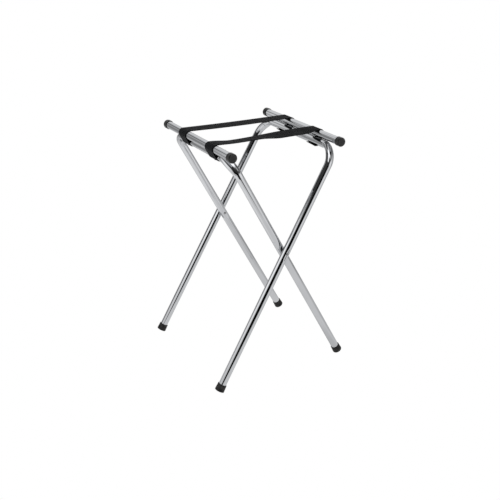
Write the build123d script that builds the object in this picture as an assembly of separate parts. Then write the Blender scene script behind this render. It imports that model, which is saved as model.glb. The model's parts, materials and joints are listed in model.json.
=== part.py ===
from build123d import *
import os
from math import acos, cos, degrees, pi, radians, sin, sqrt, tan

# Folding tray stand: two bent tube frames that cross on pivot rivets, a rail on top of each,
# and two webbing straps from rail to rail that stop the frames opening further.
# Millimetres and degrees, +Z up, origin on the floor under the middle of the open stand.
# X runs from the inner frame's rail to the outer frame's rail, Y along the rails, front is -Y.
# Each frame is built upright about its pivot axis, with Z = 0 at the pivot, and then leaned over.

# Stance of the open stand
RAIL_TOP_HEIGHT = 787.0     # floor to the top of the rails
PIVOT_HEIGHT = 436.0        # floor to the pivot rivets
LEG_TILT = 29.5             # lean of each frame from upright

# Tube of frames and rails
TUBE_DIAMETER = 25.4
TUBE_WALL = 1.2

# Leg frames
INNER_HALF_WIDTH = 198.7    # middle of the stand to the axis of an inner leg
LEG_GAP = 1.6               # between the round tubes of an inner and an outer leg at the pivot
OUTER_SPLAY = 0.9           # lean of each outer leg, feet apart
BEND_RADIUS = 60.0          # of the tube's axis
BEND_FLATTENING = 5.0       # lost from the outside of the tube at the middle of a bend
BEND_SECTIONS = 8           # steps from round to oval and back

# Rails
RAIL_LENGTH = 460.0         # bare tube, without its caps
RAIL_GAP = 0.4              # between a rail and the top run under it

# Caps on the rail ends
CAP_DIAMETER = 29.5
CAP_LENGTH = 19.0
CAP_END = 3.2               # thickness of the closed end
CAP_ROUNDING = 3.0
MOUTH_CHAMFER = 0.5         # at the open end of caps and ferrules
SLIP_CLEARANCE = 0.1        # between a tube and what slips over it

# Ferrules on the feet
FOOT_MOUTH_DIAMETER = 29.5
FOOT_BASE_DIAMETER = 32.0
FOOT_LENGTH = 24.0
FOOT_BASE = 5.0             # rubber under the tube's end
FOOT_ROUNDING = 2.0
FOOT_WEAR = 0.8             # rim pressed flat where it stands on the floor
GRIP_RING_DIAMETER = 17.0   # groove round the underside
GRIP_RING_WIDTH = 3.0
GRIP_RING_DEPTH = 1.2

# Pivots
PRESS_DEPTH = 0.9           # flats pressed into the legs for rivet heads and washers
PRESS_FLAT = 18.0           # level length of a flat along the leg
PRESS_RUNOUT = 150.0        # radius of its ends
PIVOT_DIAMETER = 6.0
PIVOT_HEAD_DIAMETER = 9.2
PIVOT_HEAD_HEIGHT = 2.4
PIVOT_CLEARANCE = 0.05      # round the shank
SIDE_CLEARANCE = 0.1        # beside heads and washers
WASHER_DIAMETER = 16.0

# Straps
STRAP_WIDTH = 50.8
STRAP_THICKNESS = 2.0
STRAP_CLEARANCE = 0.3       # to the tubes that it is wrapped on
STRAP_PAST_BOTTOM = 10.0    # how far the wrap runs past the lowest line of the top run, open
STRAP_TAIL = 13.0           # free end beyond the wrap
STRAP_PLACES = {            # middle of each strap on the inner and on the outer rail
    "front": (-102.5, -89.0),
    "back": (86.0, 87.0),
}

# Rivets that hold the strap ends under the top runs
STRAP_RIVET_DIAMETER = 4.8
STRAP_RIVET_HEAD_DIAMETER = 13.0
STRAP_RIVET_HEAD_HEIGHT = 2.0
STRAP_RIVET_BULB_DIAMETER = 7.0
STRAP_RIVET_BULB_HEIGHT = 4.0
STRAP_RIVET_CLEARANCE = 0.05
STRAP_HOLE_CLEARANCE = 0.3

# Weld beads in the two grooves between a rail and its top run
WELD_RADIUS = 3.4
WELD_LENGTH = 28.0
WELD_THROAT = 2.7           # half the width of the groove at the bead's axis
WELD_CLEARANCE = 0.1        # parting to the tubes

# Worked out from the sizes above
TUBE_RADIUS = TUBE_DIAMETER / 2
BORE_RADIUS = TUBE_RADIUS - TUBE_WALL
OUTER_HALF_WIDTH = INNER_HALF_WIDTH + TUBE_DIAMETER + LEG_GAP
RAIL_PITCH = TUBE_DIAMETER + RAIL_GAP
RAIL_REACH = (RAIL_TOP_HEIGHT - TUBE_RADIUS - PIVOT_HEIGHT) / cos(radians(LEG_TILT))
RUN_REACH = RAIL_REACH - RAIL_PITCH
STRAP_INSIDE = TUBE_RADIUS + STRAP_CLEARANCE
STRAP_OUTSIDE = STRAP_INSIDE + STRAP_THICKNESS
CUT_PAST = 5.0              # how far cutters run past what they cut
STAND_WIDTH = 4 * OUTER_HALF_WIDTH

# Places of the two frames: each leans about the pivot axis
FRAME_PLACES = {
    "inner": Pos(0, 0, PIVOT_HEIGHT) * Rot(0, -LEG_TILT, 0),
    "outer": Pos(0, 0, PIVOT_HEIGHT) * Rot(0, LEG_TILT, 0),
}
HALF_WIDTHS = {"inner": INNER_HALF_WIDTH, "outer": OUTER_HALF_WIDTH}
SPLAYS = {"inner": 0.0, "outer": OUTER_SPLAY}
ENDS = {"front": -1, "back": 1}


def world_lean(frame):
    """Angle between a leg's axis and upright in the open stand."""
    return acos(cos(radians(SPLAYS[frame])) * cos(radians(LEG_TILT)))


def foot_reach(frame):
    """Distance along a leg from the pivot to the end of its tube."""
    lean = world_lean(frame)
    rim_drop = FOOT_ROUNDING * (1 - cos(lean)) + (FOOT_BASE_DIAMETER / 2 - FOOT_ROUNDING) * sin(lean)
    return (PIVOT_HEIGHT - rim_drop + FOOT_WEAR) / cos(lean) - FOOT_BASE


def leg_down(frame):
    """Direction of the back leg from the pivot to its foot, upright."""
    splay = radians(SPLAYS[frame])
    return Vector(0, sin(splay), -cos(splay))


def half_bar(frame, radius, leg_length):
    """Back half of a frame as a solid bar: leg, flattened bend and half of the top run."""
    splay = SPLAYS[frame]
    turn = 90 - splay
    tangent_length = BEND_RADIUS * tan(radians(turn / 2))
    down = leg_down(frame)
    pivot = Vector(0, HALF_WIDTHS[frame], 0)
    corner = pivot - down * (RUN_REACH / cos(radians(splay)))
    bend_start = corner + down * tangent_length
    bend_end = corner - Vector(0, tangent_length, 0)
    bend_centre = bend_end - Vector(0, 0, BEND_RADIUS)
    leg_foot = pivot + down * leg_length

    leg_plane = Plane(origin=bend_start, x_dir=(1, 0, 0), z_dir=down)
    leg = extrude(leg_plane * Circle(radius), (leg_foot - bend_start).length)
    run_plane = Plane(origin=bend_end, x_dir=(1, 0, 0), z_dir=(0, -1, 0))
    run = extrude(run_plane * Circle(radius), bend_end.Y)

    ovals = []
    for step in range(BEND_SECTIONS + 1):
        share = step / BEND_SECTIONS
        angle = radians(splay + turn * share)
        squeeze = BEND_FLATTENING / 2 * sin(pi * share) ** 2
        outward = Vector(0, cos(angle), sin(angle))
        along = Vector(0, -sin(angle), cos(angle))
        oval_plane = Plane(bend_centre + outward * (BEND_RADIUS - squeeze), x_dir=(1, 0, 0), z_dir=along)
        ovals.append(oval_plane * Ellipse(radius + squeeze, radius - squeeze))
    return leg + loft(ovals) + run


def press_tool(face_y, outward, depth_under):
    """Cutter for one pressed flat: level across the leg, running out on an arc at each end."""
    half = PRESS_FLAT / 2
    radius = PRESS_RUNOUT + depth_under
    arc_angle = degrees(acos(1 - (PRESS_DEPTH + depth_under + CUT_PAST) / radius))
    first = CenterArc((-half, PRESS_RUNOUT), radius, -90, -arc_angle)
    level = Line((-half, -depth_under), (half, -depth_under))
    last = CenterArc((half, PRESS_RUNOUT), radius, -90, arc_angle)
    closing = Line(first @ 1, last @ 1)
    section = make_face([first, level, last, closing])
    plane = Plane(origin=(0, face_y, 0), x_dir=(0, 0, 1), z_dir=(-outward, 0, 0))
    return extrude(plane * section, TUBE_DIAMETER, both=True)


def press_tools(frame, depth_under):
    """Cutters for the flats on both sides of both legs of a frame at the pivot."""
    tools = Part()
    for end in ENDS.values():
        for outward in (-1, 1):
            face_y = end * HALF_WIDTHS[frame] + outward * (TUBE_RADIUS - PRESS_DEPTH)
            tools += press_tool(face_y, outward, depth_under)
    return tools


def run_centre(frame, along_y):
    """Point on the axis of a frame's top run in the open stand."""
    return (FRAME_PLACES[frame] * Pos(0, along_y, RUN_REACH)).position


def strap_y(frame, end):
    """Middle of a strap on a frame's rail."""
    inner_y, outer_y = STRAP_PLACES[end]
    return inner_y if frame == "inner" else outer_y


def strap_rivet_hole(frame, end, radius):
    """Cutter from the axis of the top run straight down."""
    depth = STRAP_OUTSIDE + CUT_PAST
    hole = Cylinder(radius, depth, align=(Align.CENTER, Align.CENTER, Align.MAX))
    return Pos(run_centre(frame, strap_y(frame, end))) * hole


def leg_frame(frame):
    """Bent tube with pressed flats, pivot holes and the holes of the strap rivets."""
    length = foot_reach(frame)
    half_outside = half_bar(frame, TUBE_RADIUS, length)
    half_inside = half_bar(frame, BORE_RADIUS, length + CUT_PAST)
    outside = half_outside + mirror(half_outside, about=Plane.XZ) - press_tools(frame, 0)
    inside = half_inside + mirror(half_inside, about=Plane.XZ) - press_tools(frame, TUBE_WALL)
    pivot_hole = Rot(90, 0, 0) * Cylinder(PIVOT_DIAMETER / 2 + PIVOT_CLEARANCE, STAND_WIDTH)
    placed = FRAME_PLACES[frame] * (outside - inside - pivot_hole)
    for end in ENDS:
        placed -= strap_rivet_hole(frame, end, STRAP_RIVET_DIAMETER / 2 + STRAP_RIVET_CLEARANCE)
    return placed


def top_rail(frame):
    """Straight tube laid on the top run."""
    tube = Cylinder(TUBE_RADIUS, RAIL_LENGTH) - Cylinder(BORE_RADIUS, RAIL_LENGTH)
    return FRAME_PLACES[frame] * Pos(0, 0, RAIL_REACH) * Rot(90, 0, 0) * tube


def rail_cap(frame, end):
    """Slip-on cap with a rounded closed end. Built with the tube's end at Z = 0."""
    mouth = CAP_END - CAP_LENGTH
    shell = Pos(0, 0, mouth) * Cylinder(CAP_DIAMETER / 2, CAP_LENGTH, align=(Align.CENTER, Align.CENTER, Align.MIN))
    rims = shell.edges().filter_by(GeomType.CIRCLE).sort_by(Axis.Z)
    shell = fillet(rims[-1:], CAP_ROUNDING)
    rims = shell.edges().filter_by(GeomType.CIRCLE).sort_by(Axis.Z)
    shell = chamfer(rims[:1], MOUTH_CHAMFER)
    bore = Cylinder(TUBE_RADIUS + SLIP_CLEARANCE, CAP_LENGTH, align=(Align.CENTER, Align.CENTER, Align.MAX))
    rail_end = Plane((0, ENDS[end] * RAIL_LENGTH / 2, RAIL_REACH), x_dir=(1, 0, 0), z_dir=(0, ENDS[end], 0))
    return FRAME_PLACES[frame] * (rail_end * (shell - bore))


def foot(frame, end):
    """Tapered ferrule with a ring groove underneath. Built with the tube's end at Z = 0."""
    cone = Cone(
        FOOT_BASE_DIAMETER / 2,
        FOOT_MOUTH_DIAMETER / 2,
        FOOT_LENGTH,
        align=(Align.CENTER, Align.CENTER, Align.MIN),
    )
    body = Pos(0, 0, -FOOT_BASE) * cone
    rims = body.edges().filter_by(GeomType.CIRCLE).sort_by(Axis.Z)
    body = fillet(rims[:1], FOOT_ROUNDING)
    rims = body.edges().filter_by(GeomType.CIRCLE).sort_by(Axis.Z)
    body = chamfer(rims[-1:], MOUTH_CHAMFER)
    bore = Cylinder(TUBE_RADIUS + SLIP_CLEARANCE, FOOT_LENGTH, align=(Align.CENTER, Align.CENTER, Align.MIN))
    ring_outside = Cylinder(GRIP_RING_DIAMETER / 2, 2 * GRIP_RING_DEPTH)
    ring_inside = Cylinder(GRIP_RING_DIAMETER / 2 - GRIP_RING_WIDTH, 2 * GRIP_RING_DEPTH)
    ring = Pos(0, 0, -FOOT_BASE) * (ring_outside - ring_inside)

    down = leg_down(frame)
    tube_end = Vector(0, HALF_WIDTHS[frame], 0) + down * foot_reach(frame)
    leg_end = Plane(origin=tube_end, x_dir=(1, 0, 0), z_dir=-down)
    ferrule = leg_end * (body - bore - ring)
    if end == "front":
        ferrule = mirror(ferrule, about=Plane.XZ)
    below_floor = Box(STAND_WIDTH, STAND_WIDTH, FOOT_BASE_DIAMETER, align=(Align.CENTER, Align.CENTER, Align.MAX))
    return FRAME_PLACES[frame] * ferrule - below_floor


def dome(diameter, height):
    """Low round head that stands on Z = 0."""
    radius = diameter / 2
    ball_radius = (radius ** 2 + height ** 2) / (2 * height)
    return split(Pos(0, 0, height - ball_radius) * Sphere(ball_radius), bisect_by=Plane.XY, keep=Keep.TOP)


def pivot_rivet(end):
    """Rivet through an outer and an inner leg, with a head on each pressed flat."""
    outer_face = OUTER_HALF_WIDTH + TUBE_RADIUS - PRESS_DEPTH + SIDE_CLEARANCE
    inner_face = INNER_HALF_WIDTH - TUBE_RADIUS + PRESS_DEPTH - SIDE_CLEARANCE
    grip = outer_face - inner_face
    head = dome(PIVOT_HEAD_DIAMETER, PIVOT_HEAD_HEIGHT)
    shank = Cylinder(PIVOT_DIAMETER / 2, grip, align=(Align.CENTER, Align.CENTER, Align.MIN))
    rivet = shank + Pos(0, 0, grip) * head + Rot(180, 0, 0) * head
    side = ENDS[end]
    place = Plane((0, side * inner_face, PIVOT_HEIGHT), x_dir=(1, 0, 0), z_dir=(0, side, 0))
    return place * rivet


def pivot_washer(end):
    """Spacer between the flats of the two legs."""
    thickness = LEG_GAP + 2 * PRESS_DEPTH - 2 * SIDE_CLEARANCE
    ring = Cylinder(WASHER_DIAMETER / 2, thickness) - Cylinder(PIVOT_DIAMETER / 2 + PIVOT_CLEARANCE, thickness)
    middle = ENDS[end] * (INNER_HALF_WIDTH + OUTER_HALF_WIDTH) / 2
    return Pos(0, middle, PIVOT_HEIGHT) * Rot(90, 0, 0) * ring


def strap_wrap(along_y):
    """Strap end on the outer frame, upright: over the rail, down its outside and under the top run."""
    rail = (0, RAIL_REACH)
    run = (0, RUN_REACH)
    over_rail = 90 + LEG_TILT
    under_run = LEG_TILT - (90 + STRAP_PAST_BOTTOM)
    tail_direction = Vector(sin(radians(under_run)), -cos(radians(under_run)))
    edges = []
    for radius in (STRAP_INSIDE, STRAP_OUTSIDE):
        rail_arc = CenterArc(rail, radius, 0, over_rail)
        outside = Line((radius, RAIL_REACH), (radius, RUN_REACH))
        run_arc = CenterArc(run, radius, 0, under_run)
        tail = Line(run_arc @ 1, run_arc @ 1 + tail_direction * STRAP_TAIL)
        edges += [rail_arc, outside, run_arc, tail]
    edges.append(Line(edges[0] @ 1, edges[4] @ 1))
    edges.append(Line(edges[3] @ 1, edges[7] @ 1))
    section = Plane.XZ * make_face(edges)
    return Pos(0, along_y, 0) * extrude(section, STRAP_WIDTH / 2, both=True)


def strap(end):
    """One strap in one piece: wrap on the outer rail, flat span, wrap on the inner rail."""
    inner_y, outer_y = STRAP_PLACES[end]
    outer_wrap = FRAME_PLACES["outer"] * strap_wrap(outer_y)
    inner_wrap = mirror(FRAME_PLACES["outer"] * strap_wrap(inner_y), about=Plane.YZ)
    rail_x = RAIL_REACH * sin(radians(LEG_TILT))
    span_z = RAIL_TOP_HEIGHT + STRAP_CLEARANCE + STRAP_THICKNESS / 2
    start = Plane((-rail_x, inner_y, span_z), x_dir=(0, 1, 0), z_dir=(1, 0, 0))
    reach = Vector(2 * rail_x, outer_y - inner_y, 0)
    span = extrude(start * Rectangle(STRAP_WIDTH, STRAP_THICKNESS), reach.length, dir=reach.normalized())
    whole = outer_wrap + span + inner_wrap
    for frame in FRAME_PLACES:
        whole -= strap_rivet_hole(frame, end, STRAP_RIVET_DIAMETER / 2 + STRAP_HOLE_CLEARANCE)
    return whole


def strap_rivet(frame, end):
    """Blind rivet up through a strap end into the top run, its head below."""
    head_top = -(STRAP_OUTSIDE + STRAP_CLEARANCE)
    bulb_radius = STRAP_RIVET_BULB_DIAMETER / 2
    bulb_seat = STRAP_RIVET_CLEARANCE - sqrt(BORE_RADIUS ** 2 - bulb_radius ** 2)
    head = Pos(0, 0, head_top) * Rot(180, 0, 0) * dome(STRAP_RIVET_HEAD_DIAMETER, STRAP_RIVET_HEAD_HEIGHT)
    on_top = (Align.CENTER, Align.CENTER, Align.MIN)
    shank = Pos(0, 0, head_top) * Cylinder(STRAP_RIVET_DIAMETER / 2, bulb_seat - head_top, align=on_top)
    bulb = Pos(0, 0, bulb_seat) * Cylinder(bulb_radius, STRAP_RIVET_BULB_HEIGHT, align=on_top)
    return Pos(run_centre(frame, strap_y(frame, end))) * (head + shank + bulb)


def rail_weld(frame, end):
    """Two beads, one in each groove between a rail and its top run, under a strap."""
    offset = sqrt(TUBE_RADIUS ** 2 - (RAIL_PITCH / 2 - WELD_THROAT) ** 2)
    round_end = Sphere(WELD_RADIUS)
    bead = Cylinder(WELD_RADIUS, WELD_LENGTH) + Pos(0, 0, WELD_LENGTH / 2) * round_end
    bead += Pos(0, 0, -WELD_LENGTH / 2) * round_end
    tube = Cylinder(TUBE_RADIUS + WELD_CLEARANCE, WELD_LENGTH + 4 * WELD_RADIUS)
    groove_middle = RUN_REACH + RAIL_PITCH / 2
    beads = []
    for side in (-1, 1):
        placed = Pos(side * offset, 0, 0) * Rot(90, 0, 0) * bead
        for height in (-RAIL_PITCH / 2, RAIL_PITCH / 2):
            placed -= Pos(0, 0, height) * Rot(90, 0, 0) * tube
        beads.append(FRAME_PLACES[frame] * Pos(0, strap_y(frame, end), groove_middle) * placed)
    return Compound(beads)


def stand_nodes():
    """Every piece of the open stand by its name."""
    nodes = {}
    for frame in FRAME_PLACES:
        nodes[frame + "_leg_frame"] = leg_frame(frame)
        nodes[frame + "_top_rail"] = top_rail(frame)
        for end in ENDS:
            nodes[frame + "_rail_cap_" + end] = rail_cap(frame, end)
            nodes[frame + "_foot_" + end] = foot(frame, end)
            nodes[frame + "_rail_weld_" + end] = rail_weld(frame, end)
            nodes[frame + "_strap_rivet_" + end] = strap_rivet(frame, end)
    for end in ENDS:
        nodes[end + "_strap"] = strap(end)
        nodes["pivot_rivet_" + end] = pivot_rivet(end)
        nodes["pivot_washer_" + end] = pivot_washer(end)
    return nodes


os.makedirs("parts", exist_ok=True)
for name, shape in stand_nodes().items():
    export_step(shape, "parts/" + name + ".step")
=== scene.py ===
import json
from math import atan2, cos, hypot, pi, radians, sin, sqrt, tan, tau

import bmesh
import bpy
from bpy.props import FloatProperty, FloatVectorProperty, IntProperty, PointerProperty
from bpy.types import NodeSocket, Operator, Panel, PropertyGroup
from mathutils import Matrix, Vector
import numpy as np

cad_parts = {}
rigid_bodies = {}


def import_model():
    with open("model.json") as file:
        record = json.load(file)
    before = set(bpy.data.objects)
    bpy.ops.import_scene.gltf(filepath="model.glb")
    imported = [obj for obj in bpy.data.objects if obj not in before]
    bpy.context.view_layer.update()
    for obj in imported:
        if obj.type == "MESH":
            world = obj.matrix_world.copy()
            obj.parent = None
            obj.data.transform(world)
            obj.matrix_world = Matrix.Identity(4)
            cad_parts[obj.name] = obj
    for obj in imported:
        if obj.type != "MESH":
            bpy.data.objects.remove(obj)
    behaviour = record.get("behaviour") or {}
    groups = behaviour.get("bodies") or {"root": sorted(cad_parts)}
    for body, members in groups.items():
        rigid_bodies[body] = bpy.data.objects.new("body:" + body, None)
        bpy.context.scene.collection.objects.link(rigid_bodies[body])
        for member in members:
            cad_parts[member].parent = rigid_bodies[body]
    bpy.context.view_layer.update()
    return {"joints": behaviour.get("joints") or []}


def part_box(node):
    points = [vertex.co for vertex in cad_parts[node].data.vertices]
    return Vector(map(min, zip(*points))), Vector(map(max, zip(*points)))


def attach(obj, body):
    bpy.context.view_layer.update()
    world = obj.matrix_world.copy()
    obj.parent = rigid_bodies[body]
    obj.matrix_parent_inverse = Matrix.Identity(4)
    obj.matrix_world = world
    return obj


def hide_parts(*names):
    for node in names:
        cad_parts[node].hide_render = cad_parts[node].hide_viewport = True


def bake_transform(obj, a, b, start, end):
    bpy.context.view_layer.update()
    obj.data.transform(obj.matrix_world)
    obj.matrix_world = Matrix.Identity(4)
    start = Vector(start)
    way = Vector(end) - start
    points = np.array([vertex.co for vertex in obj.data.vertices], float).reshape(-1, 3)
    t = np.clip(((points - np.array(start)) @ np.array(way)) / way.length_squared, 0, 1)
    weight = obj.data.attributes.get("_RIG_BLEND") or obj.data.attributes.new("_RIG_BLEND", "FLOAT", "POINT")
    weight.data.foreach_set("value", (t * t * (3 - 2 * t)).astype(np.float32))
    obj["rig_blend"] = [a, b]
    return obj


for leftover in list(bpy.data.objects):
    bpy.data.objects.remove(leftover)
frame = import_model()

bl_info = {
    "name": "Folding Tray Stand",
    "version": (1, 0, 0),
    "blender": (4, 5, 0),
    "location": "View3D > Sidebar > Tray Stand",
    "description": "Folding tray stand: chrome tubes, rubber ends, webbing straps and fasteners",
    "category": "Object",
}


def middle(node):
    """Middle of a CAD node's box."""
    low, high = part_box(node)
    return (low + high) / 2


def extent(node):
    """Size of a CAD node's box."""
    low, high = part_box(node)
    return high - low


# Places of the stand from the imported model, in metres and radians
FOLD = frame["joints"][0]
PIVOT = Vector(FOLD["pos_m"])
FOLD_TURN = radians(FOLD["range_deg"][1])
OUTER_RAIL = middle("outer_top_rail") - PIVOT
TILT = atan2(OUTER_RAIL.x, OUTER_RAIL.z)
RAIL_REACH = hypot(OUTER_RAIL.x, OUTER_RAIL.z)
RAIL_LENGTH = extent("outer_top_rail").y
RUN_REACH = (middle("outer_strap_rivet_front").x - PIVOT.x) / sin(TILT)
PLACES = {
    "inner": Matrix.Translation(PIVOT) @ Matrix.Rotation(-TILT, 4, "Y"),
    "outer": Matrix.Translation(PIVOT) @ Matrix.Rotation(TILT, 4, "Y"),
}
ENDS = {"front": -1, "back": 1}
ENDWAYS = {end: Matrix.Rotation(-side * pi / 2, 4, "X") for end, side in ENDS.items()}

# Mesh settings: merging distance, sharpest angle that is shaded smooth, and numbers of steps
JOIN = 1e-6
SHARP = radians(38)
ROUND_STEPS = 5
DOME_STEPS = 8
PRESS_STEPS = 36
BEND_STEPS = 40
RIPPLE_STEPS = 6
TAIL_STEPS = 4
RUN_STEPS = 16
SIDE_STEPS = 6
RAIL_STEPS = 22
SPAN_STEPS = 96
EDGE_STEPS = 3


def number(name, description, default, **limits):
    """A plain number."""
    return FloatProperty(name=name, description=description, default=default, **limits)


def length(name, description, default):
    """A size in metres."""
    return number(name, description, default, min=0, precision=4, unit="LENGTH")


def angle(name, description, default):
    """An angle, given in degrees."""
    return number(name, description, radians(default), unit="ROTATION")


def light(name, description, default):
    """A brightness; 1 is white."""
    return number(name, description, default, min=0, max=5)


def colour(name, description, default):
    """A linear colour."""
    return FloatVectorProperty(
        name=name, description=description, default=default, subtype="COLOR", size=3, min=0, max=1
    )


class TubeSizes(PropertyGroup):
    """Steel tube of the legs and rails."""

    diameter: length("Diameter", "Outside of legs, runs and rails", 0.0254)
    wall: length("Wall", "Thickness of the tube's wall", 0.0012)
    bend_radius: length("Bend radius", "Radius of the axis in the bends", 0.06)
    flattening: length("Flattening", "Loss at the outside of a bend's middle", 0.005)
    splay: angle("Splay", "Sideways lean of the outer legs, feet apart", 0.9)
    press_depth: length("Press depth", "Depth of the flats at the pivots", 0.0009)
    press_flat: length("Press flat", "Level length of a pressed flat", 0.018)
    press_runout: length("Press run-out", "Radius of the ends of a pressed flat", 0.15)
    sides: IntProperty(name="Sides", description="Facets round the tube", default=72, min=12)


class RubberSizes(PropertyGroup):
    """Rail caps and ferrules."""

    clearance: length("Clearance", "Between a tube and what slips over it", 0.0001)
    cap_diameter: length("Cap diameter", "Outside of a rail cap", 0.0295)
    cap_length: length("Cap length", "Overall length of a rail cap", 0.019)
    cap_end: length("Cap end", "Thickness of the closed end", 0.0032)
    cap_rounding: length("Cap rounding", "Rounding of the closed end", 0.003)
    mouth_rounding: length("Mouth rounding", "Rounding of the open ends", 0.0005)
    foot_mouth: length("Ferrule mouth", "Outside at the open end", 0.0295)
    foot_base: length("Ferrule base", "Outside at the floor", 0.032)
    foot_length: length("Ferrule length", "Overall length of a ferrule", 0.024)
    foot_sole: length("Ferrule sole", "Rubber under the tube's end", 0.005)
    foot_rounding: length("Ferrule rounding", "Rounding of the base", 0.002)
    groove_diameter: length("Groove diameter", "Outside of the ring groove underneath", 0.017)
    groove_width: length("Groove width", "Width of the ring groove", 0.003)
    groove_depth: length("Groove depth", "Depth of the ring groove", 0.0012)
    sides: IntProperty(name="Sides", description="Facets round caps and ferrules", default=64, min=12)


class StrapSizes(PropertyGroup):
    """Webbing straps."""

    width: length("Width", "Width of the webbing", 0.0508)
    thickness: length("Thickness", "Thickness of the webbing", 0.002)
    clearance: length("Clearance", "Between webbing and tube", 0.0003)
    past_bottom: angle("Past bottom", "Wrap beyond the lowest line of the top run", 10)
    tail: length("Tail", "Free end beyond the wrap", 0.013)
    tail_skew: length("Tail skew", "Forward creep of the front strap's outer tip", 0.013)
    skew_length: length("Skew length", "From the tip to where the creep begins", 0.045)
    tail_lift: length("Tail lift", "Rise of the far corner of an outer tail", 0.003)
    sag: length("Sag", "Drop of a slack strap at the middle", 0.0021)
    far_drop: length("Far edge drop", "Front strap's far edge, beside the inner rail", 0.0062)
    near_drop: length("Near edge drop", "Front strap's near edge, beside the outer rail", 0.0075)
    loop_gap: length("Loop gap", "Half the width of the folded loop", 0.0019)
    loop_bottom: length("Loop bottom", "Half the span that turns at the loop's foot", 0.045)
    selvedge: length("Selvedge", "Width of the firm edges", 0.0026)
    edge_rounding: length("Edge rounding", "Rounding of the edges", 0.0007)
    columns: IntProperty(name="Columns", description="Mesh columns across", default=20, min=4)


class FastenerSizes(PropertyGroup):
    """Rivets, washers and weld beads."""

    pivot_diameter: length("Pivot diameter", "Shank of a pivot rivet", 0.006)
    pivot_head: length("Pivot head", "Diameter of a pivot rivet's head", 0.0092)
    pivot_head_height: length("Pivot head height", "Height of a pivot rivet's head", 0.0024)
    stud_diameter: length("Stud diameter", "Shank of a strap rivet", 0.0048)
    stud_head: length("Stud head", "Diameter of a strap rivet's head", 0.013)
    stud_head_height: length("Stud head height", "Height of a strap rivet's head", 0.002)
    mandrel_hole: length("Mandrel hole", "Hole in a strap rivet's head", 0.003)
    bulb_diameter: length("Bulb diameter", "End of a strap rivet inside the tube", 0.007)
    bulb_height: length("Bulb height", "Height of a strap rivet's bulb", 0.004)
    washer_bore: length("Washer bore", "Hole of a pivot washer", 0.0061)
    weld_radius: length("Weld radius", "Radius of a weld bead", 0.0034)
    weld_ripple: length("Weld ripple", "Distance between the ripples of a bead", 0.0022)
    weld_throat: length("Weld throat", "Half the groove's width at the bead's axis", 0.0027)
    weld_clearance: length("Weld clearance", "Parting between a bead and the tubes", 0.0001)
    sides: IntProperty(name="Sides", description="Facets round a fastener", default=40, min=12)


class Finishes(PropertyGroup):
    """Colours of the stand."""

    chrome: colour("Chrome", "Plating on tubes and rails", (0.562, 0.571, 0.588))
    # The caps' vinyl is a lighter black than the ferrules' rubber, partly for its gloss and partly as
    # painted light: lighter caps for the light falling on them, darker ferrules for painted shade at the
    # floor.
    rubber: colour("Rubber", "Ferrules", (0.0055, 0.0055, 0.006))
    vinyl: colour("Vinyl", "Rail caps", (0.018, 0.018, 0.019))
    webbing: colour("Webbing", "Straps", (0.0165, 0.0168, 0.018))
    steel: colour("Steel", "Rivets", (0.3, 0.3, 0.305))
    nylon: colour("Nylon", "Pivot washers", (0.03, 0.03, 0.031))
    scuff: colour("Scuff", "Worn rims of caps and ferrules", (0.075, 0.073, 0.07))
    dust: colour("Dust", "Foot of the ferrules", (0.13, 0.125, 0.118))


class StageSettings(PropertyGroup):
    """Studio and camera."""

    floor_radius: length("Floor radius", "Radius of the pale floor", 5.0)
    floor_glow: light("Floor glow", "Brightness of the floor", 0.91)
    card_distance: length("Card distance", "White board at the left, from the stand's middle", 1.2)
    card_along: number("Card along", "Middle of the board, along Y", -0.05, unit="LENGTH")
    card_width: length("Card width", "Width of the board", 1.8)
    card_height: length("Card height", "Height of the board", 1.36)
    card_fade: length("Card fade", "Half the width of the board's soft edges", 0.12)
    card_glow: light("Card glow", "Brightness where its lamp is aimed", 1.5)
    card_edge_glow: light("Card edge glow", "Brightness at the ends of the lit pool", 0.8)
    azimuth: angle("Azimuth", "Camera's bearing round the stand", -29.48)
    elevation: angle("Elevation", "Camera's height above the horizon", 22.52)
    roll: angle("Roll", "Camera's turn about its own axis", 0.44)
    distance: length("Distance", "Camera to its target", 2.7405)
    target_height: length("Target height", "Camera's target over the floor", 0.39)
    lens: number("Lens", "Focal length", 57.8, min=1, unit="CAMERA")
    shift_x: number("Shift across", "Sideways shift of the picture", -0.00085)
    shift_y: number("Shift up", "Upward shift of the picture", -0.0148)


class TrayStand(PropertyGroup):
    """All settings of the tray stand."""

    tube: PointerProperty(type=TubeSizes, name="Tube", description="Sizes of the tubes")
    rubber: PointerProperty(type=RubberSizes, name="Rubber", description="Sizes of caps and ferrules")
    strap: PointerProperty(type=StrapSizes, name="Straps", description="Sizes of the straps")
    fastener: PointerProperty(type=FastenerSizes, name="Fasteners", description="Sizes of the fasteners")
    finish: PointerProperty(type=Finishes, name="Finishes", description="Colours of the pieces")
    stage: PointerProperty(type=StageSettings, name="Stage", description="Studio and camera")


# Shader helpers

WHITE = (1.0, 1.0, 1.0, 1.0)


def plug(socket, value):
    """Link a node's output to a socket, or set its value."""
    if isinstance(value, NodeSocket):
        socket.id_data.links.new(value, socket)
    else:
        socket.default_value = value


def add_node(tree, kind, inputs=None, **settings):
    """Add a shader node; an input is a value or a node's output."""
    node = tree.nodes.new("ShaderNode" + kind)
    for name, value in settings.items():
        setattr(node, name, value)
    for name, value in (inputs or {}).items():
        plug(node.inputs[name], value)
    return node


def map_range(value, low, high, to_low=0.0, to_high=1.0):
    """Map a value between two ranges, held at their ends."""
    inputs = {"Value": value, "From Min": low, "From Max": high, "To Min": to_low, "To Max": to_high}
    return add_node(value.id_data, "MapRange", inputs).outputs["Result"]


def calc(operation, first, second=0.0):
    """One sum on a node's output and a second value."""
    inputs = {0: first, 1: second}
    return add_node(first.id_data, "Math", inputs, operation=operation).outputs["Value"]


def mix_colour(factor, first, second):
    """Mix two linear colours, at the colour sockets of a Mix node."""
    inputs = {0: factor}
    for socket, end in ((6, first), (7, second)):
        inputs[socket] = end if isinstance(end, NodeSocket) else (*end, 1.0)
    return add_node(factor.id_data, "Mix", inputs, data_type="RGBA").outputs[2]


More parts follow.
